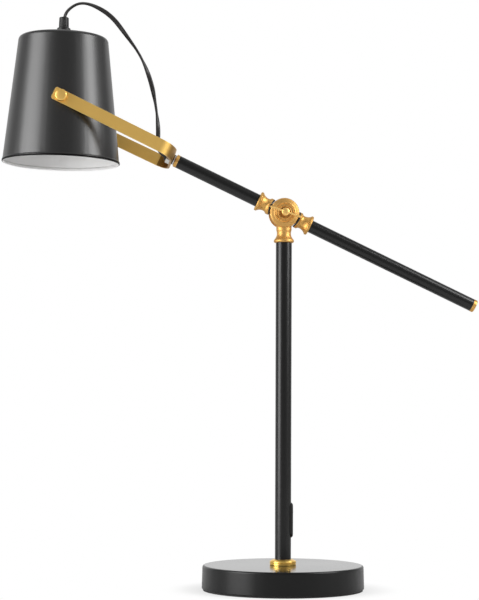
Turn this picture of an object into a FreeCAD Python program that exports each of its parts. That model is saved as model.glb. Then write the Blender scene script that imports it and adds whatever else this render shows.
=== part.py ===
"""Counterweight balance desk lamp, in millimetres.

The origin is the middle of the pad under the base, with Z up. The arm lies in
the XZ plane with the shade towards -X and the counterweight towards +X.
"""

import FreeCAD, Part
import math
import os
import Sketcher
from FreeCAD import Placement, Rotation, Vector

DOC = FreeCAD.newDocument("BalanceLamp")
PIECES = []

# Driving dimensions: alias, value, meaning. Lengths in mm, angles in degrees.
DIMENSIONS = [
    ("base_radius", 95.9, "base shell, at its lower edge"),
    ("base_top_radius", 95.2, "base shell, at its top edge"),
    ("base_height", 29.5, "floor to the top of the base"),
    ("base_edge_round", 2.4, "rounding of the base's top edge"),
    ("base_skin", 1.2, "wall of the base shell"),
    ("base_foot_round", 0.9, "rounding of the base shell's lower edge"),
    ("pad_radius", 94.4, "foam pad under the base"),
    ("pad_thickness", 2.0, "foam pad under the base"),
    ("weight_radius", 93.6, "cast weight in the base"),
    ("weight_top", 18.5, "top of the weight's disc"),
    ("weight_boss_radius", 22.0, "boss that carries the shell"),
    ("weight_recess_radius", 30.0, "recess under the weight for nut and lead"),
    ("weight_recess_top", 13.0, "ceiling of that recess"),
    ("lead_channel_half", 4.5, "half width of the lead's channel"),
    ("bush_bore", 3.3, "bore of the mains lead bush"),
    ("bush_axis_height", 10.0, "height of the mains lead bush"),
    ("thread_radius", 5.0, "M10 nipples"),
    ("thread_fit", 0.04, "radial room of a bore on its thread or spigot"),
    ("nipple_bore", 3.4, "wire way in the nipples"),
    ("column_radius", 9.5, "column tube, outside"),
    ("column_bore", 8.0, "column tube, inside"),
    ("pivot_height", 445.1, "arm pivot above the floor"),
    ("neck_length", 34.7, "pivot to the top of the column tube"),
    ("neck_top_radius", 9.0, "band under the hub disc"),
    ("neck_waist_radius", 8.3, "waist of the neck"),
    ("neck_bead_radius", 12.0, "bead over the column"),
    ("collar_radius", 15.5, "foot collar"),
    ("collar_height", 7.0, "foot collar"),
    ("hub_radius", 17.5, "discs of the hub"),
    ("hub_inner", 5.6, "pivot plane to the inner face of a cheek"),
    ("hub_rim", 8.0, "pivot plane to the rim of a disc's face"),
    ("hub_crest", 11.4, "pivot plane to the ridge on a disc's face"),
    ("ridge_radius", 11.8, "ridge on a disc's face"),
    ("hub_recess_radius", 6.9, "recess in the disc's face"),
    ("hub_recess_floor", 8.6, "pivot plane to the near recess floor"),
    ("nut_seat", 6.9, "pivot plane to the seat of the clamp nut"),
    ("nut_face", 9.7, "pivot plane to the far recess floor"),
    ("tongue_radius", 15.5, "arm knuckle between the cheeks"),
    ("tongue_half", 4.85, "half thickness of the arm knuckle"),
    ("clamp_radius", 2.5, "shank of the clamp screw"),
    ("running_fit", 0.05, "radial room of a turning shank"),
    ("clamp_head_radius", 4.6, "head of the clamp screw"),
    ("clamp_head_front", 22.6, "pivot plane to the head's face"),
    ("clamp_bar_radius", 1.25, "cross bar of the clamp screw"),
    ("clamp_bar_length", 38.0, "cross bar of the clamp screw"),
    ("clamp_bar_slope", 18.5, "cross bar, down to the right"),
    ("clamp_bar_plane", 20.1, "pivot plane to the bar's axis"),
    ("arm_angle", 25.3, "arm above level, shade end up"),
    ("arm_radius", 7.5, "arm tubes, outside"),
    ("arm_bore", 6.0, "arm tubes, inside"),
    ("front_arm_end", 138.7, "pivot to the end of the front tube"),
    ("rear_arm_end", 249.5, "pivot to the end of the rear tube"),
    ("end_cap_length", 4.3, "visible part of the end cap"),
    ("saddle_radius", 19.6, "hollow end of a collar round the hub"),
    ("lip_radius", 9.8, "collar, inner lip"),
    ("waist_radius", 7.8, "collar, waist"),
    ("bell_radius", 11.65, "collar, outer bell"),
    ("collar_end", 34.4, "pivot to the outer face of a collar"),
    ("tube_start", 31.5, "pivot to the start of an arm tube"),
    ("counterweight_length", 200.0, "bar in the rear tube"),
    ("shade_pivot_distance", 289.1, "arm pivot to shade pivot"),
    ("web_face", 145.4, "arm pivot to the outer face of the yoke web"),
    ("strip_thickness", 2.5, "yoke strip"),
    ("strip_width", 14.55, "yoke strip"),
    ("yoke_half_width", 65.0, "pivot plane to a leg's outer face"),
    ("yoke_flare", 3.2, "lean of a leg to the arm's axis"),
    ("yoke_straight", 15.0, "shade pivot to the start of the lean"),
    ("yoke_ease", 100.0, "bend between a leg's two stretches"),
    ("yoke_corner", 15.0, "outer radius of the yoke's corners"),
    ("yoke_corner_turn", 56.0, "turn of the strip in a corner"),
    ("yoke_crown", 46.0, "outer radius between a corner and the flat of the web"),
    ("yoke_overhang", 9.7, "shade pivot to the end of a leg"),
    ("yoke_end_round", 2.6, "corners of a leg's end"),
    ("shade_tilt", 1.1, "shade's axis, top towards the column"),
    ("shade_rim_radius", 68.4, "mouth of the shade"),
    ("shade_top_radius", 52.0, "sides carried on to the top plane"),
    ("shade_below", 68.0, "pivot to the mouth"),
    ("shade_above", 78.8, "pivot to the top"),
    ("shade_wall", 0.8, "wall of the shade"),
    ("shade_round", 5.0, "rounding of the shade's top edge"),
    ("hem_height", 3.6, "rolled hem at the mouth"),
    ("hem_thickness", 2.3, "rolled hem, inwards from the mouth's radius"),
    ("hem_bulge", 0.45, "rolled hem, outwards from the mouth's radius"),
    ("stud_radius", 2.0, "stud of a pivot knob"),
    ("knob_radius", 6.6, "pivot knob"),
    ("knob_length", 9.0, "pivot knob, off the yoke"),
    ("holder_radius", 18.6, "lampholder skirt"),
    ("socket_bore", 13.3, "screw shell for the lamp"),
    ("gland_base_radius", 8.5, "cord gland, foot"),
    ("gland_radius", 5.9, "cord gland, ribbed part"),
    ("gland_height", 24.0, "cord gland above the shade"),
    ("cord_radius", 2.2, "round of the same section as the flat cord"),
    ("lead_radius", 1.6, "leads inside the tubes"),
    ("switch_height", 82.6, "middle of the switch above the floor"),
    ("switch_half_length", 20.8, "bezel of the switch"),
    ("switch_half_width", 6.0, "bezel of the switch"),
    ("switch_face", 11.4, "column axis to the bezel's face"),
    ("bezel_chamfer", 1.6, "front edge of the bezel"),
    ("rocker_axis", 6.9, "column axis to the rocker's pin"),
    ("rocker_rest", 7.0, "rocker's lean at rest, upper end out"),
    ("pin_radius", 0.8, "rocker's pin"),
]

# Points of the shade cord's route in the XZ plane, from the gland to the bush
# in the yoke. The cord is a round tube on straight runs and tangent arcs.
CORD_ROUTE = [
    (-259.57, 662.6),
    (-259.36, 673.4),
    (-252.6, 682.8),
    (-240.6, 689.4),
    (-224.6, 686.6),
    (-203.8, 674.4),
    (-186.8, 652.2),
    (-169.4, 628.2),
    (-157.4, 599.0),
    (-151.0, 566.0),
    (-148.6, 541.0),
    (-149.6, 525.2),
    (-146.46, 514.33),
    (-137.06, 509.89),
]
ARC_SHARE = 0.45
EDGE_TOLERANCE = 0.01
CLAMP_NUT_FLATS = 8.0


class Size:
    """A number together with the sheet expression that gives it."""

    def __init__(self, value, text):
        self.value = float(value)
        self.text = text

    def __add__(self, other):
        other = as_size(other)
        return Size(self.value + other.value, f"({self.text} + {other.text})")

    def __radd__(self, other):
        return as_size(other) + self

    def __sub__(self, other):
        other = as_size(other)
        return Size(self.value - other.value, f"({self.text} - {other.text})")

    def __rsub__(self, other):
        return as_size(other) - self

    def __mul__(self, other):
        other = as_size(other)
        return Size(self.value * other.value, f"({self.text} * {other.text})")

    def __rmul__(self, other):
        return as_size(other) * self

    def __truediv__(self, other):
        other = as_size(other)
        return Size(self.value / other.value, f"({self.text} / {other.text})")

    def __neg__(self):
        return Size(-self.value, f"(0 - {self.text})")


def as_size(number):
    """A Size for a plain number, and a Size as it is."""
    if isinstance(number, Size):
        return number
    return Size(number, f"{float(number):.6f}")


def sine(angle):
    return Size(math.sin(math.radians(angle.value)), f"sin({angle.text})")


def cosine(angle):
    return Size(math.cos(math.radians(angle.value)), f"cos({angle.text})")


def tangent(angle):
    return Size(math.tan(math.radians(angle.value)), f"tan({angle.text})")


def square_root(size):
    return Size(math.sqrt(size.value), f"sqrt({size.text})")


def write_sheet():
    """The sheet of driving dimensions."""
    sheet = DOC.addObject("Spreadsheet::Sheet", "Dims")
    for row, (alias, value, meaning) in enumerate(DIMENSIONS, start=1):
        sheet.set(f"A{row}", meaning)
        sheet.set(f"B{row}", str(value))
        sheet.setAlias(f"B{row}", alias)
    DOC.recompute()


class Dimensions:
    """The sheet's values by name, each as a Size."""

    def __init__(self):
        for alias, value, _ in DIMENSIONS:
            setattr(self, alias, Size(value, f"Dims.{alias}"))


write_sheet()
D = Dimensions()

# Frames: the arm's frame has X along the arm, the shade's has Z up its axis.
ARM_TURN = Rotation(Vector(0, 1, 0), D.arm_angle.value)
SHADE_TURN = Rotation(Vector(0, 1, 0), D.shade_tilt.value)
SHADE_X = -D.shade_pivot_distance * cosine(D.arm_angle)
SHADE_Z = D.pivot_height + D.shade_pivot_distance * sine(D.arm_angle)
STAND_FRAME = ((0, 0, 0), Rotation())
PIVOT_FRAME = ((0, 0, D.pivot_height), Rotation())
ARM_FRAME = ((0, 0, D.pivot_height), ARM_TURN)
SHADE_FRAME = ((SHADE_X, 0, SHADE_Z), SHADE_TURN)
TO_FRONT = Rotation(Vector(0, 0, 1), Vector(-1, 0, 0))
TO_REAR = Rotation(Vector(0, 0, 1), Vector(1, 0, 0))
TO_NEAR = Rotation(Vector(0, 0, 1), Vector(0, -1, 0))
TO_FAR = Rotation(Vector(0, 0, 1), Vector(0, 1, 0))


def turned_frame(frame, turn):
    """The same origin with the local Z turned to another direction."""
    origin, rotation = frame
    return (origin, rotation.multiply(turn))


FRONT_FRAME = turned_frame(ARM_FRAME, TO_FRONT)
REAR_FRAME = turned_frame(ARM_FRAME, TO_REAR)
LEFT, RIGHT = 1, -1
LONG = 400.0


def place(item, frame):
    """Puts a sub-part in its frame, its position bound to the sheet."""
    origin, rotation = frame
    sizes = [as_size(value) for value in origin]
    item.Placement = Placement(Vector(*[size.value for size in sizes]), rotation)
    for axis, size in zip("xyz", sizes):
        if "Dims" in size.text:
            item.setExpression(f"Placement.Base.{axis}", size.text)


def new_body(label, frame=STAND_FRAME):
    """An empty sub-part in its frame."""
    body = DOC.addObject("PartDesign::Body", label)
    body.Label = label
    place(body, frame)
    PIECES.append(body)
    return body


def origin_plane(body, role):
    for feature in body.Origin.OriginFeatures:
        if feature.Role == role:
            return feature
    raise ValueError(role)


def bind(sketch, constraint, size):
    """Adds a constraint whose value follows the sheet."""
    index = sketch.addConstraint(constraint)
    if "Dims" in size.text:
        sketch.setExpression(f"Constraints[{index}]", size.text)


def pin_point(sketch, geometry, position, x, y):
    """Fixes a point of the sketch at bound coordinates."""
    bind(sketch, Sketcher.Constraint("DistanceX", -1, 1, geometry, position, x.value), x)
    bind(sketch, Sketcher.Constraint("DistanceY", -1, 1, geometry, position, y.value), y)


def arc_geometry(start, end, radius, side):
    """A minor arc from start to end, turning to the given side."""
    chord = end - start
    half = chord.Length / 2
    rise = math.sqrt(max(radius * radius - half * half, 0))
    left = Vector(-chord.y, chord.x, 0).normalize()
    centre = (start + end) / 2 + left * (rise * side)
    first, last = (start, end) if side == LEFT else (end, start)
    angles = [math.atan2(point.y - centre.y, point.x - centre.x) for point in (first, last)]
    circle = Part.Circle(centre, Vector(0, 0, 1), radius)
    return Part.ArcOfCircle(circle, angles[0], angles[1])


def draw_outline(sketch, outline):
    """Draws a closed outline of corners (x, y) and arcs (x, y, radius, side)."""
    corners = [(as_size(corner[0]), as_size(corner[1])) for corner in outline]
    points = [Vector(x.value, y.value, 0) for x, y in corners]
    ends = []
    count = len(outline)
    for index in range(count):
        following = (index + 1) % count
        start, end = points[index], points[following]
        bend = outline[following][2:]
        if bend:
            radius, side = as_size(bend[0]), bend[1]
            number = sketch.addGeometry(arc_geometry(start, end, radius.value, side), False)
            first, last = (1, 2) if side == LEFT else (2, 1)
            bind(sketch, Sketcher.Constraint("Radius", number, radius.value), radius)
        else:
            number = sketch.addGeometry(Part.LineSegment(start, end), False)
            first, last = 1, 2
        pin_point(sketch, number, first, *corners[index])
        ends.append((number, first, last))
    for index in range(count):
        number, _, last = ends[index]
        next_number, next_first, _ = ends[(index + 1) % count]
        sketch.addConstraint(
            Sketcher.Constraint("Coincident", number, last, next_number, next_first)
        )


def draw_circle(sketch, x, y, radius):
    """Draws a circle bound to the sheet."""
    x, y, radius = as_size(x), as_size(y), as_size(radius)
    centre = Vector(x.value, y.value, 0)
    circle = Part.Circle(centre, Vector(0, 0, 1), radius.value)
    number = sketch.addGeometry(circle, False)
    pin_point(sketch, number, 3, x, y)
    bind(sketch, Sketcher.Constraint("Radius", number, radius.value), radius)


def new_sketch(body, role, shapes, offset=0.0):
    """A sketch on one of the body's planes, moved along the plane's normal.

    A shape is an outline, or a circle as a plain tuple (x, y, radius).
    """
    number = len(body.Group)
    sketch = body.newObject("Sketcher::SketchObject", f"{body.Name}_sketch_{number}")
    sketch.AttachmentSupport = (origin_plane(body, role), [""])
    sketch.MapMode = "FlatFace"
    offset = as_size(offset)
    sketch.AttachmentOffset = Placement(Vector(0, 0, offset.value), Rotation())
    if "Dims" in offset.text:
        sketch.setExpression("AttachmentOffset.Base.z", offset.text)
    for shape in shapes:
        if isinstance(shape, tuple):
            draw_circle(sketch, *shape)
        else:
            draw_outline(sketch, shape)
    return sketch


def add_feature(body, kind, sketch):
    feature = body.newObject(f"PartDesign::{kind}", f"{body.Name}_{kind}_{len(body.Group)}")
    feature.Profile = sketch
    return feature


def slab(body, role, shapes, low, high, kind="Pad"):
    """Fills, or with kind Pocket cuts, the shapes from low to high along an axis."""
    low, high = as_size(low), as_size(high)
    middle = (low + high) / 2
    if role == "XZ_Plane":
        middle = -middle
    sketch = new_sketch(body, role, shapes, middle)
    feature = add_feature(body, kind, sketch)
    feature.SideType = "Symmetric"
    depth = high - low
    feature.Length = depth.value
    if "Dims" in depth.text:
        feature.setExpression("Length", depth.text)
    return feature


def cut_slab(body, role, shapes, low=-LONG, high=LONG):
    return slab(body, role, shapes, low, high, kind="Pocket")


def turn(body, shapes, role="XZ_Plane", axis="V_Axis", kind="Revolution"):
    """Turns the shapes round an axis of their sketch: Z by default."""
    sketch = new_sketch(body, role, shapes)
    feature = add_feature(body, kind, sketch)
    feature.ReferenceAxis = (sketch, [axis])
    feature.Angle = 360
    return feature


def turned(label, frame, *outlines):
    """A sub-part turned round its local Z, outlines in radius and height."""
    body = new_body(label, frame)
    for outline in outlines:
        turn(body, [outline])
    return body


def ring(inner, outer, low, high):
    """The outline of a plain tube or ring."""
    return [(inner, low), (outer, low), (outer, high), (inner, high)]


def rectangle(x_low, x_high, y_low, y_high):
    return [(x_low, y_low), (x_high, y_low), (x_high, y_high), (x_low, y_high)]


def hexagon(across_flats):
    """A hexagon round the origin, corners to the left and right."""
    reach = across_flats / math.sqrt(3)
    corners = []
    for step in range(6):
        angle = math.radians(60 * step)
        corners.append((reach * math.cos(angle), reach * math.sin(angle)))
    return corners


def stadium(half_length, half_width, middle):
    """An upright oval with round ends, middle high, in a YZ sketch."""
    straight = half_length - half_width
    low, high = middle - straight, middle + straight
    return [
        (-half_width, low),
        (0, low - half_width, half_width, LEFT),
        (half_width, low, half_width, LEFT),
        (half_width, high),
        (0, high + half_width, half_width, LEFT),
        (-half_width, high, half_width, LEFT),
    ]


def tip_edges(body):
    """Name and bounding box of each edge of the body as it stands."""
    DOC.recompute()
    edges = body.Tip.Shape.Edges
    return [(f"Edge{number}", edge.BoundBox) for number, edge in enumerate(edges, start=1)]


def dress_edges(body, kind, property_name, size, names):
    """Fillets or chamfers the named edges of the body as it stands."""
    base = body.Tip
    feature = body.newObject(f"PartDesign::{kind}", f"{body.Name}_{kind}")
    feature.Base = (base, names)
    setattr(feature, property_name, size.value)
    feature.setExpression(property_name, size.text)
    body.Tip = feature


def bend_radius(across, along):
    """The radius of an arc that starts along its axis and shifts across."""
    return (across * across + along * along) / (2 * across)


def hex_nut(label, frame, across_flats, bore, low, high):
    body = new_body(label, frame)
    slab(body, "XY_Plane", [hexagon(across_flats), (0, 0, bore)], low, high)
    return body


# ---------------------------------------------------------------- the stand


def make_base_shell():
    """Spun cover of the base with a rounded top edge."""
    low, top = D.pad_thickness, D.base_height
    inner_top = top - D.base_skin
    shoulder = top - D.base_edge_round
    flat = D.base_top_radius - D.base_edge_round
    bore = D.thread_radius + 0.2
    outline = [
        (bore, inner_top),
        (flat, inner_top),
        (D.base_top_radius - D.base_skin, shoulder, D.base_edge_round - D.base_skin, RIGHT),
        (D.base_radius - D.base_skin, low),
        (D.base_radius - D.base_foot_round, low),
        (D.base_radius, low + D.base_foot_round, D.base_foot_round, LEFT),
        (D.base_top_radius, shoulder),
        (flat, top, D.base_edge_round, LEFT),
        (bore, top),
    ]
    body = turned("base_shell", STAND_FRAME, outline)
    hole = (0, D.bush_axis_height, D.bush_bore + 1.75)
    cut_slab(body, "XZ_Plane", [hole], D.weight_radius - 5, D.base_radius + 5)


def make_base_weight():
    """Cast weight with a boss, a recess for the nut and a channel to the rear."""
    bore = D.thread_radius + 0.3
    outline = [
        (bore, D.weight_recess_top),
        (D.weight_recess_radius, D.weight_recess_top),
        (D.weight_recess_radius, D.pad_thickness),
        (D.weight_radius, D.pad_thickness),
        (D.weight_radius, D.weight_top),
        (D.weight_boss_radius, D.weight_top),
        (D.weight_boss_radius, D.base_height - D.base_skin),
        (bore, D.base_height - D.base_skin),
    ]
    body = turned("base_weight", STAND_FRAME, outline)
    half = D.lead_channel_half
    channel = rectangle(-half, half, D.weight_recess_radius - 4, D.weight_radius + 4)
    cut_slab(body, "XY_Plane", [channel], D.pad_thickness - 1, D.bush_axis_height + half)
    room = (0, D.bush_axis_height, D.bush_bore + 3.9)
    cut_slab(body, "XZ_Plane", [room], D.weight_radius - 6, D.weight_radius + 4)


def make_base_pad():
    turned("base_pad", STAND_FRAME, ring(0, D.pad_radius, 0, D.pad_thickness))


def make_mains_lead_bush():
    """Grommet in the rear of the base where the mains lead comes in."""
    bore, groove = D.bush_bore, D.bush_bore + 1.7
    wall_in, wall_out = D.base_top_radius - D.base_skin, D.base_radius + 0.05
    outline = [
        (bore, wall_in - 4),
        (bore + 3.2, wall_in - 4),
        (bore + 3.2, wall_in),
        (groove, wall_in),
        (groove, wall_out),
        (bore + 3.9, wall_out),
        (bore + 3.3, wall_out + 1.6, 2.4, LEFT),
        (bore + 0.7, wall_out + 2.2, 6.0, LEFT),
        (bore, wall_out + 1.6, 0.8, LEFT),
    ]
    frame = ((0, 0, D.bush_axis_height), TO_FAR)
    turned("mains_lead_bush", frame, outline)


def make_foot_fixings():
    """Plug, nipple, washer and nut that hold the column on the base."""
    bore = D.thread_radius + D.thread_fit
    plug = ring(bore, D.column_bore - D.thread_fit, D.base_height, D.base_height + 18)
    turned("column_foot_plug", STAND_FRAME, plug)
    nut_top = D.weight_recess_top - 1.5
    nipple = ring(D.nipple_bore, D.thread_radius, nut_top - 7, D.base_height + 16)
    turned("column_nipple", STAND_FRAME, nipple)
    washer = ring(D.thread_radius + 0.3, 14.0, nut_top, D.weight_recess_top)
    turned("foot_washer", STAND_FRAME, washer)
    hex_nut("foot_nut", STAND_FRAME, 17.0, bore, nut_top - 5, nut_top)


def make_foot_collar():
    """Turned collar round the foot of the column."""
    bore, low = D.column_radius + D.thread_fit, D.base_height
    radius, top = D.collar_radius, D.base_height + D.collar_height
    outline = [
        (bore, low),
        (radius - 0.4, low),
        (radius, low + 0.5, 0.6, LEFT),
        (radius, low + 2.5),
        (radius - 0.4, low + 2.8),
        (radius, low + 3.1),
        (radius, low + 4.4),
        (radius - 1.0, low + 5.4, 1.2, LEFT),
        (radius - 4.8, top, 9.0, LEFT),
        (bore, top),
    ]
    turned("foot_collar", STAND_FRAME, outline)


def make_column_tube():
    """Column with the window for the switch on its +X side."""
    top = D.pivot_height - D.neck_length
    tube = ring(D.column_bore, D.column_radius, D.base_height, top)
    body = turned("column_tube", STAND_FRAME, tube)
    half = D.switch_half_length - 5.6
    window = rectangle(-4.2, 4.2, D.switch_height - half, D.switch_height + half)
    cut_slab(body, "YZ_Plane", [window], 4, D.column_radius + 3)


def make_switch():
    """Oval bezel and body, rocker, pin and blades of the switch."""
    middle, face = D.switch_height, D.switch_face
    body = new_body("switch_housing")
    oval = stadium(D.switch_half_length, D.switch_half_width, middle)
    slab(body, "YZ_Plane", [oval], D.column_radius - 2.6, face)
    front_edges = []
    for name, box in tip_edges(body):
        if abs(box.XMin - face.value) < EDGE_TOLERANCE:
            front_edges.append(name)
    dress_edges(body, "Chamfer", "Size", D.bezel_chamfer, front_edges)
    hollow = D.column_radius + D.thread_fit
    turn(body, [ring(0, hollow, middle - 30, middle + 30)], kind="Groove")
    box = rectangle(-4.1, 4.1, middle - 15.1, middle + 15.1)
    slab(body, "YZ_Plane", [box], -1, D.column_radius + 0.5)
    well = rectangle(-3.2, 3.2, middle - 12.2, middle + 12.2)
    cut_slab(body, "YZ_Plane", [well], 2.2, face + 2)
    pin_hole = (D.rocker_axis, middle, D.pin_radius + 0.02)
    cut_slab(body, "XZ_Plane", [pin_hole], -3.9, 3.9)

    pin = ring(0, D.pin_radius, -3.85, 3.85)
    turned("rocker_pin", ((D.rocker_axis, 0, middle), TO_FAR), pin)

    lean = Rotation(Vector(0, 1, 0), D.rocker_rest.value)
    rocker = new_body("switch_rocker", ((D.rocker_axis, 0, middle), lean))
    side = [
        (-2.4, -11.3),
        (3.0, -11.3),
        (3.5, -10.8),
        (4.3, 0),
        (3.5, 10.8),
        (3.0, 11.3),
        (-2.4, 11.3),
        (-3.2, 0),
    ]
    slab(rocker, "XZ_Plane", [side], -2.85, 2.85)
    cut_slab(rocker, "XZ_Plane", [(0, 0, D.pin_radius + D.running_fit)])

    blades = new_body("switch_terminals")
    for offset in (-8.0, 8.0):
        low = middle + offset
        slab(blades, "YZ_Plane", [rectangle(-2, 2, low, low + 0.8)], -3.2, -1)


def make_column_lead():
    """Lead from the foot of the column past the switch to the neck."""
    top = D.pivot_height - D.neck_length - 15
    lead = ring(0, D.lead_radius, D.base_height + 19, top)
    turned("column_lead", ((-5.3, 0, 0), Rotation()), lead)


def cheek_outline(side, back_floor):
    """Half section of a hub cheek, side -1 for the near one, in (y, radius)."""
    bore = D.clamp_radius + D.running_fit
    turn_side = LEFT if side < 0 else RIGHT
    other_side = -turn_side
    outline = [
        (side * D.hub_inner, bore),
        (side * back_floor, bore),
        (side * back_floor, D.hub_recess_radius),
        (side * (D.hub_crest - 1.1), D.hub_recess_radius),
        (side * (D.hub_crest - 0.7), D.hub_recess_radius + 0.4, 0.5, other_side),
        (side * (D.hub_crest - 0.9), D.hub_recess_radius + 1.3, 0.9, other_side),
        (side * (D.hub_crest - 0.5), D.ridge_radius - 1.2, 4.5, -other_side),
        (side * D.hub_crest, D.ridge_radius, 1.6, other_side),
        (side * (D.hub_crest - 0.5), D.ridge_radius + 1.1, 1.4, other_side),
        (side * (D.hub_crest - 1.5), D.hub_radius - 1.3, 30.0, other_side),
        (side * D.hub_rim, D.hub_radius, 2.4, other_side),
        (side * D.hub_inner, D.hub_radius),
    ]
    return outline


def make_column_knuckle():
    """Fork of the hub: neck with bead, and a turned disc each side."""
    body = new_body("column_knuckle", PIVOT_FRAME)
    low = -D.neck_length
    top_radius, waist, bead = D.neck_top_radius, D.neck_waist_radius, D.neck_bead_radius
    spigot = D.column_bore - D.thread_fit
    band_low, waist_high, waist_low, flare_low = low + 14.3, low + 12.1, low + 10.6, low + 4.9
    neck = [
        (2.6, low - 13),
        (spigot, low - 13),
        (spigot, low),
        (bead - 1.3, low),
        (bead, low + 1.7, 2.0, LEFT),
        (bead - 0.9, low + 4.0, 3.4, LEFT),
        (bead - 1.5, flare_low),
        (waist, waist_low, bend_radius(bead - 1.5 - waist, waist_low - flare_low), RIGHT),
        (waist, waist_high),
        (waist + 0.6, band_low - 0.4, bend_radius(as_size(0.6), as_size(1.8)), RIGHT),
        (top_radius - 0.15, band_low),
        (top_radius, band_low + 0.3),
        (top_radius, -D.hub_radius + 4),
        (2.6, -D.hub_radius + 4),
    ]
    turn(body, [neck])
    turn(body, [cheek_outline(-1, D.hub_recess_floor)], "YZ_Plane", "H_Axis")
    turn(body, [cheek_outline(1, D.nut_face)], "YZ_Plane", "H_Axis")
    gap = rectangle(-D.hub_inner, D.hub_inner, 0, D.tongue_radius + 0.7)
    turn(body, [gap], "YZ_Plane", "H_Axis", kind="Groove")
    pocket = hexagon(CLAMP_NUT_FLATS + 0.1)
    cut_slab(body, "XZ_Plane", [pocket], D.nut_seat, D.hub_crest + 2)


def make_clamp():
    """Washer, screw with its head and cross bar, nut and friction washers."""
    washer = ring(D.clamp_radius + 0.1, 5.3, D.hub_recess_floor, D.hub_recess_floor + 1.2)
    turned("clamp_washer", turned_frame(PIVOT_FRAME, TO_NEAR), washer)

    frame = turned_frame(PIVOT_FRAME, TO_NEAR)
    seat, front = D.hub_recess_floor + 1.5, D.clamp_head_front
    shank, head = D.clamp_radius, D.clamp_head_radius
    screw = turned(
        "clamp_screw",
        frame,
        [
            (0, -D.nut_seat - 4.4),
            (shank - 0.4, -D.nut_seat - 4.4),
            (shank, -D.nut_seat - 4.0),
            (shank, seat),
            (3.6, seat),
            (3.6, seat + 1.6),
            (3.0, seat + 2.4),
            (3.0, front - 5.6),
            (head - 0.6, front - 5.2),
            (head, front - 4.6),
            (head, front - 1.5),
            (head - 0.6, front - 0.8, 0.8, LEFT),
            (0, front, bend_radius(as_size(0.8), head - 0.6), LEFT),
        ],
    )
    hole = (0, D.clamp_bar_plane, D.clamp_bar_radius + 0.02)
    slope = math.radians(D.clamp_bar_slope.value)
    along = Vector(math.cos(slope), 0, -math.sin(slope))
    lean = Rotation(Vector(0, 0, 1), -D.clamp_bar_slope.value)
    screw.Placement = Placement(screw.Placement.Base, screw.Placement.Rotation.multiply(lean))
    cut_slab(screw, "YZ_Plane", [hole], -head - 1, head + 1)

    half = D.clamp_bar_length / 2
    tip = 0.5
    bar = [
        (0, -half),
        (D.clamp_bar_radius - tip, -half),
        (D.clamp_bar_radius, -half + tip, tip, LEFT),
        (D.clamp_bar_radius, half - tip),
        (D.clamp_bar_radius - tip, half, tip, LEFT),
        (0, half),
    ]
    bar_frame = ((0, -D.clamp_bar_plane, D.pivot_height), Rotation(Vector(0, 0, 1), along))
    turned("clamp_bar", bar_frame, bar)

    far = turned_frame(PIVOT_FRAME, TO_FAR)
    bore = D.clamp_radius + 0.02
    hex_nut("clamp_nut", far, CLAMP_NUT_FLATS, bore, D.nut_seat, D.nut_seat + 4)

    discs = new_body("friction_washers", PIVOT_FRAME)
    for side in (-1, 1):
        low, high = side_span(side, D.tongue_half + 0.15, D.hub_inner)
        circles = [(0, 0, D.tongue_radius - 1), (0, 0, D.clamp_radius + 0.3)]
        slab(discs, "XZ_Plane", circles, low, high)


# ------------------------------------------------------------------ the arm


def make_arm_knuckle():
    """Tongue of the hub with a spigot for each collar."""
    body = new_body("arm_knuckle", ARM_FRAME)
    disc = [(0, 0, D.tongue_radius), (0, 0, D.clamp_radius + D.running_fit)]
    slab(body, "XZ_Plane", disc, -D.tongue_half, D.tongue_half)
    start, end, radius = as_size(10.0), D.collar_end + 9.6, D.tongue_half - 0.15
    rods = [rectangle(start, end, 0, radius), rectangle(-end, -start, 0, radius)]
    turn(body, rods, "XZ_Plane", "H_Axis")
    wire_way = rectangle(-end - 1, -(D.tongue_radius + 1), 0, 2.3)
    turn(body, [wire_way], "XZ_Plane", "H_Axis", kind="Groove")


def make_arm_collar(label, frame):
    """Turned collar between hub and arm tube, hollowed to clear the hub."""
    bore = D.tongue_half - 0.15 + D.thread_fit
    lip, waist, bell, end = D.lip_radius, D.waist_radius, D.bell_radius, D.collar_end
    waist_at = D.saddle_radius + 4.2
    lip_top = D.saddle_radius + 0.9
    bell_start = end - 3.8
    tube_hole = D.arm_radius + D.thread_fit
    outline = [
        (bore, 14.0),
        (lip, 14.0),
        (lip, lip_top - 0.3),
        (lip - 0.3, lip_top, 0.32, LEFT),
        (waist, waist_at, bend_radius(lip - 0.3 - waist, waist_at - lip_top), RIGHT),
        (bell - 1.3, bell_start, bend_radius(bell - 1.3 - waist, bell_start - waist_at), RIGHT),
        (bell - 0.3, end - 3.0),
        (bell, end - 2.4, 1.0, LEFT),
        (bell, end - 1.2),
        (bell - 1.0, end, 1.4, LEFT),
        (tube_hole, end),
        (tube_hole, D.tube_start - 0.1),
        (D.arm_bore - D.thread_fit, D.tube_start - 0.1),
        (D.arm_bore - D.thread_fit, end + 11.6),
        (bore, end + 11.6),
    ]
    body = turned(label, frame, outline)
    cut_slab(body, "XZ_Plane", [(0, 0, D.saddle_radius)], -15, 15)


def make_gap_ring(label, frame):
    """Thin spacer that fills the gap between a collar and the hub discs."""
    bore = D.tongue_half - 0.15 + D.thread_fit
    outer = D.lip_radius - 0.1
    outline = [
        (bore, 12.0),
        (outer - 1.0, 12.0),
        (outer - 1.0, 15.2),
        (outer, 16.8),
        (outer, D.saddle_radius + 4),
        (bore, D.saddle_radius + 4),
    ]
    body = turned(label, frame, outline)
    cut_slab(body, "XZ_Plane", [(0, 0, D.hub_radius + 0.4)], -15, 15)
    outside = rectangle(-30.0, 30.0, -30.0, 30.0)
    rim = (0, 0, D.saddle_radius - 0.02)
    cut_slab(body, "XZ_Plane", [outside, rim], -15, 15)


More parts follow.
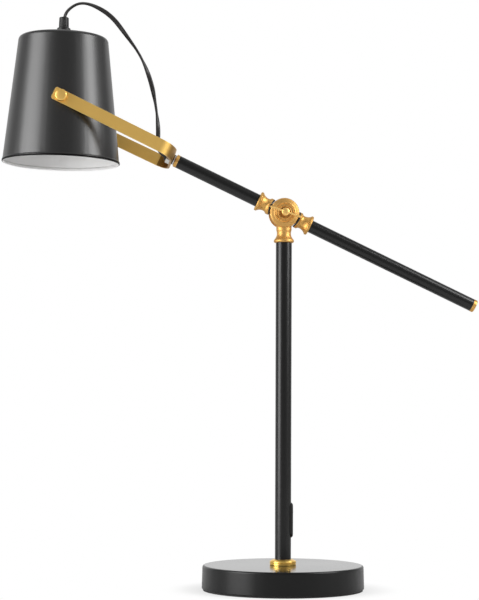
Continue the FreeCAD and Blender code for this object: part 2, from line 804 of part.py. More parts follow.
def make_arm_tubes():
    front = ring(D.arm_bore, D.arm_radius, D.tube_start, D.front_arm_end)
    turned("front_arm_tube", FRONT_FRAME, front)
    rear = ring(D.arm_bore, D.arm_radius, D.tube_start, D.rear_arm_end)
    turned("rear_arm_tube", REAR_FRAME, rear)


def make_counterweight():
    """Steel bar in the rear tube and the cap that closes it."""
    radius = D.arm_bore - 0.1
    bar_end = D.rear_arm_end - 2.6
    bar = ring(0, radius, bar_end - D.counterweight_length, bar_end)
    turned("counterweight_bar", REAR_FRAME, bar)
    end, face = D.rear_arm_end, D.rear_arm_end + D.end_cap_length
    cap = [
        (0, end - 2.5),
        (D.arm_bore - D.thread_fit, end - 2.5),
        (D.arm_bore - D.thread_fit, end),
        (D.arm_radius + 0.1, end),
        (D.arm_radius + 0.1, face - 1.2),
        (D.arm_radius - 1.1, face, 1.2, LEFT),
        (0, face),
    ]
    turned("rear_end_cap", REAR_FRAME, cap)


def make_front_fittings():
    """Ferrule, ring, spacer, nipple, nut and bush that carry the yoke."""
    end, web = D.front_arm_end, D.web_face
    bore = D.thread_radius + D.thread_fit
    spigot = D.arm_bore - D.thread_fit
    ferrule = [
        (bore, end - 12),
        (spigot, end - 12),
        (spigot, end),
        (D.arm_radius + 0.1, end),
        (D.arm_radius + 0.1, end + 3.2),
        (D.arm_radius - 0.5, end + 3.8, 0.6, LEFT),
        (bore, end + 3.8),
    ]
    turned("arm_ferrule", FRONT_FRAME, ferrule)
    washer = ring(bore, 5.5, end + 3.8, end + 4.3)
    turned("ferrule_washer", FRONT_FRAME, washer)
    locknut = [
        (bore, end + 4.3),
        (6.0, end + 4.3),
        (6.3, end + 4.6, 0.3, LEFT),
        (6.3, end + 5.3),
        (6.0, end + 5.6, 0.3, LEFT),
        (bore, end + 5.6),
    ]
    turned("yoke_locknut", FRONT_FRAME, locknut)
    turned("yoke_spacer", FRONT_FRAME, ring(bore, 5.8, end + 5.6, web))
    inner = web + D.strip_thickness
    nut_top = inner + 5.0
    turned("yoke_nipple", FRONT_FRAME, ring(D.nipple_bore, D.thread_radius, end - 8, nut_top))
    hex_nut("yoke_nut", FRONT_FRAME, 13.0, bore, inner, nut_top)
    hole = D.cord_radius + 0.05
    bush = [
        (hole, nut_top - 4),
        (D.nipple_bore - D.thread_fit, nut_top - 4),
        (D.nipple_bore - D.thread_fit, nut_top),
        (5.0, nut_top),
        (5.0, nut_top + 1.8),
        (4.4, nut_top + 2.4, 0.6, LEFT),
        (hole, nut_top + 2.4),
    ]
    turned("nipple_bush", FRONT_FRAME, bush)


def yoke_line(inset):
    """Half of the yoke strip's face line, inset from the outer face."""
    flare = D.yoke_flare
    crown_turn = 90 - flare - D.yoke_corner_turn
    crown, corner = D.yoke_crown - inset, D.yoke_corner - inset
    ease = D.yoke_ease - inset
    kink = D.shade_pivot_distance - D.yoke_straight
    # centres of the two arcs, measured from the end of the web's flat
    step = D.yoke_crown - D.yoke_corner
    crown_along = D.web_face + D.yoke_crown
    corner_along = crown_along - step * cosine(crown_turn)
    # the leg's outer face leans in from the kink towards the web
    leg_along = corner_along - D.yoke_corner * sine(flare)
    leg_out = D.yoke_half_width - (kink - leg_along) * tangent(flare)
    corner_out = leg_out - D.yoke_corner * cosine(flare)
    flat = corner_out - step * sine(crown_turn)
    ease_half = D.yoke_ease * tangent(flare / 2)
    ease_along = kink + ease_half
    ease_out = D.yoke_half_width - D.yoke_ease
    return {
        "web": (D.web_face + inset, flat),
        "crown": (
            crown_along - crown * cosine(crown_turn),
            flat + crown * sine(crown_turn),
            crown,
        ),
        "leg": (
            corner_along - corner * sine(flare),
            corner_out + corner * cosine(flare),
            corner,
        ),
        "ease": (ease_along - ease * sine(flare), ease_out + ease * cosine(flare)),
        "straight": (ease_along, ease_out + ease, ease),
        "end": (D.shade_pivot_distance + D.yoke_overhang, D.yoke_half_width - inset),
    }


def make_yoke():
    """Brass strip bent to a U, from pivot hole to pivot hole."""
    body = new_body("yoke", ARM_FRAME)
    outer, inner = yoke_line(as_size(0)), yoke_line(D.strip_thickness)
    outline = []
    for side, turn_side in ((1, RIGHT), (-1, LEFT)):
        outer_part = [
            (-outer["web"][0], side * outer["web"][1]),
            (-outer["crown"][0], side * outer["crown"][1], outer["crown"][2], LEFT),
            (-outer["leg"][0], side * outer["leg"][1], outer["leg"][2], LEFT),
            (-outer["ease"][0], side * outer["ease"][1]),
            (-outer["straight"][0], side * outer["straight"][1], outer["straight"][2], LEFT),
            (-outer["end"][0], side * outer["end"][1]),
        ]
        inner_part = [
            (-inner["end"][0], side * inner["end"][1]),
            (-inner["straight"][0], side * inner["straight"][1]),
            (-inner["ease"][0], side * inner["ease"][1], inner["straight"][2], RIGHT),
            (-inner["leg"][0], side * inner["leg"][1]),
            (-inner["crown"][0], side * inner["crown"][1], inner["leg"][2], RIGHT),
            (-inner["web"][0], side * inner["web"][1], inner["crown"][2], RIGHT),
        ]
        if side > 0:
            outline = outer_part + inner_part
        else:
            outline = outline + reversed_path(inner_part) + reversed_path(outer_part)
    half = D.strip_width / 2
    slab(body, "XY_Plane", [outline], -half, half)
    pivot = (-D.shade_pivot_distance, 0, D.stud_radius + 0.08)
    cut_slab(body, "XZ_Plane", [pivot])
    entry = (0, 0, D.thread_radius + D.thread_fit)
    cut_slab(body, "YZ_Plane", [entry], -D.web_face - 10, -D.web_face + 10)
    round_strip_ends(body)


def reversed_path(path):
    """The same run of corners and arcs, mirrored in Y and drawn backwards."""
    corners = [(corner[0], corner[1]) for corner in path]
    bends = [corner[2:] for corner in path]
    result = []
    for index in range(len(path) - 1, -1, -1):
        bend = bends[index + 1] if index + 1 < len(path) else ()
        result.append(corners[index] + tuple(bend))
    return result


def round_strip_ends(body):
    """Rounds the four corners at each end of the strip."""
    end = -(D.shade_pivot_distance + D.yoke_overhang).value
    half = (D.strip_width / 2).value
    corners = []
    for name, box in tip_edges(body):
        at_end = abs(box.XMin - end) < EDGE_TOLERANCE and abs(box.XMax - end) < EDGE_TOLERANCE
        at_side = abs(abs(box.Center.z) - half) < EDGE_TOLERANCE
        if at_end and at_side and box.YLength > 1:
            corners.append(name)
    dress_edges(body, "Fillet", "Radius", D.yoke_end_round, corners)


def make_arm_lead():
    """Lead from the yoke's bush through the front tube to the hub."""
    start, end = D.collar_end - 14, D.web_face + 5.8
    turned("arm_lead", FRONT_FRAME, ring(0, D.lead_radius, start, end))


# ---------------------------------------------------------------- the shade


def shade_radius(height):
    """Outer radius of the shade's side at a height from its pivot."""
    fall = (D.shade_rim_radius - D.shade_top_radius) / (D.shade_below + D.shade_above)
    return D.shade_rim_radius - fall * (height + D.shade_below)


def make_shade_shell():
    """Spun bucket shade, open below, with a hem and a rounded top edge."""
    rim, top, wall = D.shade_rim_radius, D.shade_above, D.shade_wall
    low = -D.shade_below
    hem_top = low + D.hem_height
    hem_in, hem_out = rim - D.hem_thickness, rim + D.hem_bulge
    hem_middle = low + 1.7
    drop, spread = D.shade_below + D.shade_above, rim - D.shade_top_radius
    side = square_root(drop * drop + spread * spread)
    slope_sine, slope_cosine = spread / side, drop / side
    corner_tangent = (1 - slope_sine) / slope_cosine
    reach = D.shade_round * corner_tangent
    inner_round = D.shade_round - wall
    # wall measured level, so that the inner side runs parallel to the outer
    level_wall = wall / slope_cosine
    bend_x = D.shade_top_radius + reach * slope_sine
    bend_z = top - reach * slope_cosine
    inner_reach = inner_round * corner_tangent
    inner_corner = D.shade_top_radius - level_wall + wall * spread / drop
    inner_x = inner_corner + inner_reach * slope_sine
    inner_z = top - wall - inner_reach * slope_cosine
    bore = D.thread_radius + 0.1
    outline = [
        (bore, top - wall),
        (inner_corner - inner_reach, top - wall),
        (inner_x, inner_z, inner_round, RIGHT),
        (shade_radius(hem_top) - level_wall, hem_top),
        (hem_in + 0.6, hem_top - 0.3),
        (hem_in, hem_middle, bend_radius(as_size(0.6), hem_top - 0.3 - hem_middle), LEFT),
        (hem_in, low + 1.1),
        (hem_in + 1.1, low, 1.1, LEFT),
        (hem_out - 1.0, low),
        (hem_out, low + 1.0, 1.0, LEFT),
        (hem_out, hem_middle),
        (
            shade_radius(hem_top),
            hem_top,
            bend_radius(hem_out - shade_radius(hem_top), hem_top - hem_middle),
            LEFT,
        ),
        (bend_x, bend_z),
        (D.shade_top_radius - reach, top, D.shade_round, LEFT),
        (bore, top),
    ]
    body = turned("shade_shell", SHADE_FRAME, outline)
    cut_slab(body, "XZ_Plane", [(0, 0, 3.1)])


def make_pivot_fittings():
    """Threaded bushes in the shade's wall and the washers on them."""
    wall_in = shade_radius(as_size(0)) - D.shade_wall
    strip = D.yoke_half_width - D.strip_thickness
    bore = D.stud_radius + D.running_fit
    bushes = new_body("pivot_bushes", SHADE_FRAME)
    washers = new_body("pivot_washers", SHADE_FRAME)
    for side in (-1, 1):
        sleeve = (wall_in - 4.2, strip - 0.3)
        flange = (wall_in - 4.2, wall_in - 1.1)
        disc = (strip - 0.9, strip - 0.3)
        circles = {
            sleeve: [(0, 0, 3.0), (0, 0, bore)],
            flange: [(0, 0, 5.5), (0, 0, bore)],
        }
        for (low, high), shapes in circles.items():
            slab(bushes, "XZ_Plane", shapes, *side_span(side, low, high))
        shapes = [(0, 0, 5.4), (0, 0, 3.02)]
        slab(washers, "XZ_Plane", shapes, *side_span(side, *disc))


def side_span(side, low, high):
    """The span from low to high on one side of the pivot plane."""
    if side > 0:
        return low, high
    return -high, -low


def make_pivot_knob(label, turn_to):
    """Round knob with the stud that the shade swings on."""
    frame = ((SHADE_X, 0, SHADE_Z), turn_to)
    leg, radius = D.yoke_half_width, D.knob_radius
    seat, face = leg + 0.3, leg + D.knob_length
    outline = [
        (0, leg - 11.3),
        (D.stud_radius, leg - 11.3),
        (D.stud_radius, seat),
        (5.2, seat),
        (5.2, seat + 0.9),
        (radius - 0.5, seat + 0.9),
        (radius, seat + 1.5, 0.7, LEFT),
        (radius, face - 2.0),
        (radius - 1.4, face - 0.6, 1.5, LEFT),
        (0, face, bend_radius(as_size(0.6), radius - 1.4), LEFT),
    ]
    turned(label, frame, outline)


def make_lampholder():
    """Cap, body, screw shell and contact, and the nipple that hangs them."""
    ceiling = D.shade_above - D.shade_wall
    seat = ceiling - 3.6
    bore = D.thread_radius + D.thread_fit
    cap = [
        (bore, seat),
        (13.0, seat),
        (D.holder_radius, seat - 5.0, 6.2, RIGHT),
        (D.holder_radius, seat - 17),
        (D.holder_radius - 1.6, seat - 17),
        (D.holder_radius - 1.6, seat - 6),
        (11.6, seat - 3.2),
        (bore, seat - 3.2),
    ]
    turned("lampholder_cap", SHADE_FRAME, cap)
    deck, mouth = seat - 13, seat - 50
    socket = D.socket_bore + 0.8
    body = [
        (2.0, deck),
        (D.holder_radius - 1.7, deck),
        (D.holder_radius - 1.7, deck - 4),
        (D.holder_radius, deck - 4.4),
        (D.holder_radius, mouth + 1.2),
        (D.holder_radius - 1.2, mouth, 1.2, RIGHT),
        (socket + 0.3, mouth),
        (socket + 0.3, deck - 5),
        (2.0, deck - 5),
    ]
    turned("lampholder_body", SHADE_FRAME, body)
    shell = [
        (5.0, deck - 5.1),
        (socket, deck - 5.1),
        (socket, mouth + 2),
        (D.socket_bore, mouth + 2),
        (D.socket_bore, deck - 5.9),
        (5.0, deck - 5.9),
    ]
    turned("screw_shell", SHADE_FRAME, shell)
    contact = [
        (0, deck - 5.9),
        (3.8, deck - 5.9),
        (3.8, deck - 5.0),
        (1.9, deck - 5.0),
        (1.9, deck + 1.5),
        (0, deck + 1.5),
    ]
    turned("centre_contact", SHADE_FRAME, contact)
    nipple = ring(D.nipple_bore, D.thread_radius, seat - 7, D.shade_above + 9)
    turned("holder_nipple", SHADE_FRAME, nipple)
    hex_nut("holder_nut", SHADE_FRAME, 14.0, bore, seat, ceiling)


def make_cord_gland():
    """Moulded cord grip: a stepped foot and a ribbed upper part."""
    low, top = D.shade_above, D.shade_above + D.gland_height
    radius, foot = D.gland_radius, D.gland_base_radius
    shoulder, neck = low + 11.2, low + 12.4
    inner = D.thread_radius + D.thread_fit
    hole = D.cord_radius + 0.05
    outline = [
        (inner, low),
        (foot, low),
        (foot - 0.7, shoulder - 0.5),
        (foot - 1.2, shoulder, 0.5, LEFT),
        (radius + 0.2, neck - 0.6),
        (radius, neck),
        (radius - 0.35, top - 1.2),
        (radius - 1.5, top, 1.2, LEFT),
        (hole + 1.2, top),
        (hole, top - 4.0, 7.4, LEFT),
        (hole, low + 10),
        (inner, low + 10),
    ]
    body = turned("cord_gland", SHADE_FRAME, outline)
    groove = (0, radius + 0.25, 0.65)
    cut = cut_slab(body, "XY_Plane", [groove], neck + 0.6, top + 2)
    pattern = body.newObject("PartDesign::PolarPattern", "gland_grooves")
    pattern.Originals = [cut]
    pattern.Axis = (cut.Profile[0], ["N_Axis"])
    pattern.Angle = 360
    pattern.Occurrences = 16
    body.Tip = pattern


def route_bends(points):
    """Corner, unit directions, reach and radius at each inner route point."""
    bends = []
    for before, corner, after in zip(points, points[1:], points[2:]):
        into = (corner - before).normalize()
        out = (after - corner).normalize()
        turn_angle = into.getAngle(out)
        reach = ARC_SHARE * min((corner - before).Length, (after - corner).Length)
        bends.append((corner, into, out, reach, reach / math.tan(turn_angle / 2), turn_angle))
    return bends


def make_shade_cord():
    """Free cord from the gland over the shade's back to the yoke."""
    points = [Vector(x, 0, z) for x, z in CORD_ROUTE]
    edges = []
    here = points[0]
    length = 0.0
    for corner, into, out, reach, radius, turn_angle in route_bends(points):
        start = corner - into * reach
        end = corner + out * reach
        inward = (out - into).normalize()
        centre = corner + inward * (radius / math.cos(turn_angle / 2))
        middle = centre - inward * radius
        edges.append(Part.LineSegment(here, start).toShape())
        edges.append(Part.Arc(start, middle, end).toShape())
        length += (start - here).Length + radius * turn_angle
        here = end
        print(f"cord bend {math.degrees(turn_angle):5.1f} deg, radius {radius:6.1f} mm")
    edges.append(Part.LineSegment(here, points[-1]).toShape())
    length += (points[-1] - here).Length
    path = Part.Wire(edges)
    first = points[1] - points[0]
    section = Part.Wire([Part.Circle(points[0], first, D.cord_radius.value).toShape()])
    tube = path.makePipeShell([section], True, False)
    expected = math.pi * D.cord_radius.value**2 * length
    print(f"cord length {length:.1f} mm, volume {tube.Volume:.1f} of {expected:.1f} mm3")
    cord = DOC.addObject("Part::Feature", "shade_cord")
    cord.Shape = tube
    cord.Label = "shade_cord"
    cord.Placement = Placement()
    PIECES.append(cord)


# ------------------------------------------------------------------- output


def build():
    make_base_shell()
    make_base_weight()
    make_base_pad()
    make_mains_lead_bush()
    make_foot_fixings()
    make_foot_collar()
    make_column_tube()
    make_switch()
    make_column_lead()
    make_column_knuckle()
    make_clamp()
    make_arm_knuckle()
    make_arm_collar("front_arm_collar", FRONT_FRAME)
    make_arm_collar("rear_arm_collar", REAR_FRAME)
    make_gap_ring("front_gap_ring", FRONT_FRAME)
    make_gap_ring("rear_gap_ring", REAR_FRAME)
    make_arm_tubes()
    make_counterweight()
    make_front_fittings()
    make_yoke()
    make_arm_lead()
    make_shade_shell()
    make_pivot_fittings()
    make_pivot_knob("near_pivot_knob", TO_NEAR)
    make_pivot_knob("far_pivot_knob", TO_FAR)
    make_lampholder()
    make_cord_gland()
    make_shade_cord()


def check_and_write():
    """Stops on any failed object, then writes each sub-part's shape."""
    DOC.recompute()
    for item in DOC.Objects:
        if "Invalid" in item.State or "Error" in item.State:
            raise RuntimeError(f"{item.Name}: {item.State}")
    os.makedirs("parts", exist_ok=True)
    for piece in PIECES:
        shape = piece.Shape
        if shape.isNull() or not shape.isValid() or shape.Volume <= 0:
            raise RuntimeError(f"{piece.Label} has no valid shape")
        print(f"{piece.Label:20s} {len(shape.Solids)} solid {shape.Volume:12.1f} mm3")
        shape.exportStep(os.path.join("parts", f"{piece.Label}.step"))


build()
check_and_write()
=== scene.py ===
import math

import bmesh
import bpy
from mathutils import Matrix, Vector


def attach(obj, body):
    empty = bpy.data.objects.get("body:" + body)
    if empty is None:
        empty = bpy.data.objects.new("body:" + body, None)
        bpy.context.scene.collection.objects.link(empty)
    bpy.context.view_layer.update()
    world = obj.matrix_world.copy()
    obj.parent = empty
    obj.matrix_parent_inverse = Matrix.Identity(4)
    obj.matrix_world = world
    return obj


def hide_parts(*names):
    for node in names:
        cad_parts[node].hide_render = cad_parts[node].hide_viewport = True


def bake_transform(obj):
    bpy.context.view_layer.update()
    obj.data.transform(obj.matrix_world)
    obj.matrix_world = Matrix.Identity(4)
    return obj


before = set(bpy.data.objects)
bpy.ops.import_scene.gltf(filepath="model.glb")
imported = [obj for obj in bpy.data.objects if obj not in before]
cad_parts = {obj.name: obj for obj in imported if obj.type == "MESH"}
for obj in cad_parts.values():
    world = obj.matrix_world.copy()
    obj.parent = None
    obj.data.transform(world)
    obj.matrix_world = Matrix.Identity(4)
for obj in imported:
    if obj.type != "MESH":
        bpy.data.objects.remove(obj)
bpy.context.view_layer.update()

# Lengths are in metres where nothing else is said.
MM = 0.001

# The arm's frame stands at its pivot in the hub, the shade's at its pivot in the yoke.
ARM_DEGREES = 25.3
SHADE_DEGREES = 1.1
ARM_PIVOT = Vector((0, 0, 0.4451))
SHADE_PIVOT_IN_ARM = Vector((-0.2891, 0, 0))


def leaning_frame(place, degrees):
    """A frame at a place, turned about the level axis that runs away from the viewer."""
    return Matrix.Translation(place) @ Matrix.Rotation(math.radians(degrees), 4, "Y")


ARM_FRAME = leaning_frame(ARM_PIVOT, ARM_DEGREES)
SHADE_PIVOT = ARM_FRAME @ SHADE_PIVOT_IN_ARM
SHADE_FRAME = leaning_frame(SHADE_PIVOT, SHADE_DEGREES)


def link_object(name, data):
    thing = bpy.data.objects.new(name, data)
    bpy.context.scene.collection.objects.link(thing)
    return thing


# ------------------------------------------------------------------ camera

LENS, SENSOR_WIDTH = 106.64, 36
PICTURE_HEIGHT = 600
SHIFT_X, SHIFT_Y = -0.5 / PICTURE_HEIGHT, 103.3 / PICTURE_HEIGHT
CLIP_START, CLIP_END = 0.05, 50
CAMERA_YAW, CAMERA_ROLL = 0.0816, 0.003
CAMERA_PLACE = Vector((-0.2224, -2.0901, 0.2205))


def set_camera():
    """The photograph's view: level, from the front and a little to the left."""
    data = bpy.data.cameras.new("camera")
    data.lens = LENS
    data.sensor_width = SENSOR_WIDTH
    data.shift_x = SHIFT_X
    data.shift_y = SHIFT_Y
    data.clip_start = CLIP_START
    data.clip_end = CLIP_END
    camera = link_object("camera", data)
    bpy.context.scene.camera = camera
    forward = Vector((math.sin(CAMERA_YAW), math.cos(CAMERA_YAW), 0))
    level = Vector((math.cos(CAMERA_YAW), -math.sin(CAMERA_YAW), 0))
    upright = Vector((0, 0, 1))
    right = (level * math.cos(CAMERA_ROLL) + upright * math.sin(CAMERA_ROLL)).normalized()
    up = right.cross(forward)
    matrix = Matrix((right, up, -forward)).transposed().to_4x4()
    matrix.translation = CAMERA_PLACE
    camera.matrix_world = matrix


# -------------------------------------------------------------- node trees


class Signal:
    """A node's output, so that the maths of a node tree reads as an expression."""

    def __init__(self, graph, socket):
        self.graph = graph
        self.socket = socket

    def maths(self, operation, *values):
        return self.graph.node("ShaderNodeMath", {"operation": operation}, enumerate(values))

    def __add__(self, other):
        return self.maths("ADD", self, other)

    def __radd__(self, other):
        return self.maths("ADD", other, self)

    def __mul__(self, other):
        return self.maths("MULTIPLY", self, other)


class Graph:
    """A node tree, cleared and then built by calls."""

    def __init__(self, tree):
        self.tree = tree
        tree.nodes.clear()

    def node(self, kind, settings=(), inputs=(), output=0):
        """A node with its settings, then the values or links of its sockets."""
        node = self.tree.nodes.new(kind)
        for key, value in dict(settings).items():
            setattr(node, key, value)
        for key, value in dict(inputs).items():
            if isinstance(value, Signal):
                self.tree.links.new(value.socket, node.inputs[key])
            else:
                node.inputs[key].default_value = value
        return Signal(self, node.outputs[output]) if node.outputs else None

    def between(self, signal, low, high, to_low=0.0, to_high=1.0):
        """signal's stretch from low to high, brought smoothly to a new range."""
        inputs = {"Value": signal, "From Min": low, "From Max": high}
        inputs.update({"To Min": to_low, "To Max": to_high})
        return self.node("ShaderNodeMapRange", {"interpolation_type": "SMOOTHSTEP"}, inputs)

    def either(self, ray, otherwise, chosen):
        """The shader chosen for one kind of ray, and another for all other rays."""
        asked = self.node("ShaderNodeLightPath", output=ray)
        return self.node("ShaderNodeMixShader", inputs={0: asked, 1: otherwise, 2: chosen})


class Finish(Graph):
    """One material and its node tree."""

    def __init__(self, name):
        self.material = bpy.data.materials.new(name)
        self.material.use_nodes = True
        super().__init__(self.material.node_tree)
        self.coordinates = None

    def place(self, stretch=(1, 1, 1), turn=(0, 0, 0), shift=(0, 0, 0)):
        """Coordinates in a frame at shift and turn, drawn out by stretch."""
        if self.coordinates is None:
            self.coordinates = self.node("ShaderNodeTexCoord", output="Object")
        inputs = {"Vector": self.coordinates, "Scale": stretch, "Rotation": turn, "Location": shift}
        return self.node("ShaderNodeMapping", {"vector_type": "TEXTURE"}, inputs)

    def noise(self, scale, detail=2.0, rough=0.5, **placed):
        inputs = {"Vector": self.place(**placed), "Scale": scale}
        inputs.update({"Detail": detail, "Roughness": rough})
        return self.node("ShaderNodeTexNoise", inputs=inputs)

    def reach(self, **placed):
        """Distance from the frame's origin, in metres before its stretch."""
        inputs = {0: self.place(**placed)}
        return self.node("ShaderNodeVectorMath", {"operation": "LENGTH"}, inputs, output="Value")

    def rings(self, scale, **placed):
        """Fine turning marks round the frame's drawn-out axis."""
        inputs = {"W": self.reach(**placed), "Scale": scale, "Detail": 2.0, "Roughness": 0.6}
        return self.node("ShaderNodeTexNoise", {"noise_dimensions": "1D"}, inputs)

    def marked(self, name):
        """1 on the faces that carry a mark, 0 elsewhere."""
        settings = {"attribute_type": "GEOMETRY", "attribute_name": name}
        return self.node("ShaderNodeAttribute", settings, output="Fac")

    def blend(self, factor, first, second):
        """A colour between two colours."""
        inputs = {0: factor, 6: first, 7: second}
        return self.node("ShaderNodeMix", {"data_type": "RGBA"}, inputs, output=2)

    def bump(self, height, strength, distance):
        inputs = {"Height": height, "Strength": strength, "Distance": distance}
        return self.node("ShaderNodeBump", inputs=inputs)

    def surface(self, **sockets):
        """The shader and the output, from its sockets' names with underscores."""
        inputs = {name.replace("_", " "): value for name, value in sockets.items()}
        shader = self.node("ShaderNodeBsdfPrincipled", inputs=inputs)
        self.node("ShaderNodeOutputMaterial", inputs={"Surface": shader})
        return self.material


def rgb(red, green, blue):
    return (red, green, blue, 1.0)


# --------------------------------------------------------------- materials


def black_enamel(name, tone, rough, specular):
    """Sprayed satin black: faint orange peel, uneven sheen, a little dust, rubbed edges."""
    finish = Finish(name)
    cloud = finish.noise(scale=11, detail=3, rough=0.55)
    peel = finish.noise(scale=1300, detail=1, rough=0.5)
    dust = finish.between(finish.noise(scale=2300, detail=1, rough=0.4), 0.72, 0.80)
    patch = finish.between(finish.noise(scale=90, detail=3, rough=0.6), 0.40, 0.62)
    rub = finish.marked("worn") * patch
    dark = rgb(tone * 0.90, tone * 0.88, tone * 0.89)
    light = rgb(tone * 1.10, tone * 1.08, tone * 1.08)
    paint = finish.blend(cloud, dark, light)
    paint = finish.blend(dust * 0.05, paint, rgb(0.30, 0.29, 0.28))
    paint = finish.blend(rub * 0.10, paint, rgb(0.22, 0.20, 0.18))
    return finish.surface(
        Base_Color=paint,
        Roughness=(rough - 0.025) + cloud * 0.05 + dust * 0.08,
        Specular_IOR_Level=specular,
        Normal=finish.bump(peel, strength=0.018, distance=0.0002),
    )


def satin_brass(name, lines, rough, tint, shaded_web=None):
    """Antique brass plate under lacquer: fine lines, warm patches, bright edges, painted shade in
    inner corners, and on the yoke painted shade on its web and inner bends.
    """
    finish = Finish(name)
    marks = lines(finish)
    patch = finish.noise(scale=17, detail=3, rough=0.55)
    stain = finish.between(finish.noise(scale=48, detail=4, rough=0.62), 0.54, 0.76)

    def tone(*colour):
        return rgb(*(min(part * share, 1.0) for part, share in zip(colour, tint)))

    metal = finish.blend(patch, tone(0.84, 0.540, 0.145), tone(0.93, 0.620, 0.180))
    metal = finish.blend(stain * 0.20, metal, tone(0.66, 0.38, 0.09))
    metal = finish.blend(marks * 0.22, metal, tone(0.70, 0.42, 0.10))
    metal = finish.blend(finish.marked("worn") * 0.45, metal, tone(0.99, 0.80, 0.42))
    # Painted shade: the faces of inner corners are darkened where shade falls.
    metal = finish.blend(finish.marked("painted_crease_shade") * 0.75, metal, rgb(0.10, 0.045, 0.012))
    # Painted shade on the yoke: its web and the inside of its bends are darkened brown.
    if shaded_web:
        metal = finish.blend(shaded_web(finish) * 0.80, metal, rgb(0.28, 0.14, 0.035))
        metal = finish.blend(finish.marked("painted_bend_shade") * 0.75, metal, rgb(0.26, 0.095, 0.010))
    return finish.surface(
        Base_Color=metal,
        Metallic=1.0,
        Roughness=(rough - 0.06) + marks * 0.10 + stain * 0.05,
        Normal=finish.bump(marks, strength=0.06, distance=0.0001),
    )


ARM_LEAN = (0, math.radians(ARM_DEGREES), 0)
ARM_ALONG = (0, math.radians(ARM_DEGREES + 90), 0)
HUB = tuple(ARM_PIVOT)
# Along the arm, in metres: the painted shade on the yoke's web starts here and is full here.
WEB_SHADE_START, WEB_SHADE_FULL = -0.157, -0.150


def arm_brushing(finish):
    """Brushing along the arm."""
    placed = {"stretch": (30, 1, 1), "turn": ARM_LEAN, "shift": HUB}
    return finish.noise(scale=900, rough=0.6, **placed)


def painted_web_shade(finish):
    """Mask of the painted shade on the yoke: 1 on its web, 0 along its legs."""
    in_arm = finish.place(turn=ARM_LEAN, shift=HUB)
    along = finish.node("ShaderNodeSeparateXYZ", inputs={"Vector": in_arm})
    return finish.between(along, WEB_SHADE_START, WEB_SHADE_FULL)


def turned_lines(turn=(0, 0, 0), shift=(0, 0, 0)):
    """Turning marks across the local Z of a frame."""
    placed = {"stretch": (60, 60, 1), "turn": turn, "shift": shift}
    return lambda finish: finish.noise(scale=1500, rough=0.6, **placed)


def faced_lines(shift):
    """Turning marks in circles round a level axis through shift."""
    return lambda finish: finish.rings(scale=1500, stretch=(1, 80, 1), shift=shift)


def bright_zinc(name):
    """Zinc plate of the hidden fittings, mottled."""
    finish = Finish(name)
    patch = finish.noise(scale=120, detail=3, rough=0.6)
    return finish.surface(
        Base_Color=finish.blend(patch, rgb(0.55, 0.54, 0.50), rgb(0.78, 0.77, 0.74)),
        Metallic=1.0,
        Roughness=0.22 + patch * 0.14,
        Normal=finish.bump(patch, strength=0.08, distance=0.0001),
    )


def moulded_black(name, tone, rough):
    """Black moulded plastic with a fine spark texture and slightly paler edges."""
    finish = Finish(name)
    spark = finish.noise(scale=1500, rough=0.6)
    cloud = finish.noise(scale=40)
    dark = rgb(tone * 0.85, tone * 0.85, tone * 0.85)
    light = rgb(tone * 1.2, tone * 1.18, tone * 1.15)
    plastic = finish.blend(cloud, dark, light)
    plastic = finish.blend(finish.marked("worn") * 0.12, plastic, rgb(0.16, 0.16, 0.16))
    return finish.surface(
        Base_Color=plastic,
        Roughness=rough + spark * 0.08,
        Specular_IOR_Level=0.42,
        Normal=finish.bump(spark, strength=0.08, distance=0.0001),
    )


def flex_sheath(name):
    """Dark supple sheath of the flat cord, faintly mottled."""
    finish = Finish(name)
    mottle = finish.noise(scale=150)
    fine = finish.noise(scale=1800)
    return finish.surface(
        Base_Color=finish.blend(mottle, rgb(0.006, 0.0052, 0.005), rgb(0.012, 0.010, 0.0092)),
        Roughness=0.40 + fine * 0.10,
        Normal=finish.bump(fine, strength=0.05, distance=0.0001),
    )


def shade_white(name):
    """Off-white sprayed inside of the shade, soft and faintly uneven."""
    finish = Finish(name)
    cloud = finish.noise(scale=18, detail=3, rough=0.6)
    peel = finish.noise(scale=1100, detail=1)
    return finish.surface(
        Base_Color=finish.blend(cloud, rgb(0.72, 0.715, 0.71), rgb(0.78, 0.775, 0.77)),
        Roughness=0.45 + cloud * 0.1,
        Normal=finish.bump(peel, strength=0.05, distance=0.0002),
    )


def cast_iron(name):
    """Sand-cast iron with rust in patches."""
    finish = Finish(name)
    sand = finish.noise(scale=500, detail=4, rough=0.7)
    rust = finish.between(finish.noise(scale=30, detail=4, rough=0.6), 0.55, 0.72)
    iron = finish.blend(sand, rgb(0.05, 0.05, 0.05), rgb(0.11, 0.105, 0.10))
    iron = finish.blend(rust * 0.4, iron, rgb(0.12, 0.055, 0.03))
    return finish.surface(
        Base_Color=iron,
        Metallic=0.6,
        Roughness=0.62 + sand * 0.2,
        Normal=finish.bump(sand, strength=0.5, distance=0.0004),
    )


def foam(name):
    """Black foam with fine open cells."""
    finish = Finish(name)
    cells = finish.node(
        "ShaderNodeTexVoronoi", inputs={"Vector": finish.place(), "Scale": 900}
    )
    return finish.surface(
        Base_Color=finish.blend(cells, rgb(0.012, 0.012, 0.012), rgb(0.035, 0.034, 0.033)),
        Roughness=0.9,
        Normal=finish.bump(cells, strength=0.4, distance=0.0003),
    )


# ------------------------------------------------------------------- stage

# Light of the surround: plain from all round, and what surfaces mirror from the front.
AMBIENT, FRONT_GLOW = 0.55, 0.35
# What they mirror rises to white between these parts of a direction away from the viewer.
GLOW_LOW, GLOW_HIGH = 0.45, 0.75

# Distance from the base's middle over which the floor fades, and its white share there.
FLOOR_NEAR, FLOOR_FAR = 0.094, 0.145
NEAR_WHITE = 0.62
FLOOR_TONE = 0.66
FLOOR_RADIUS = 3.0

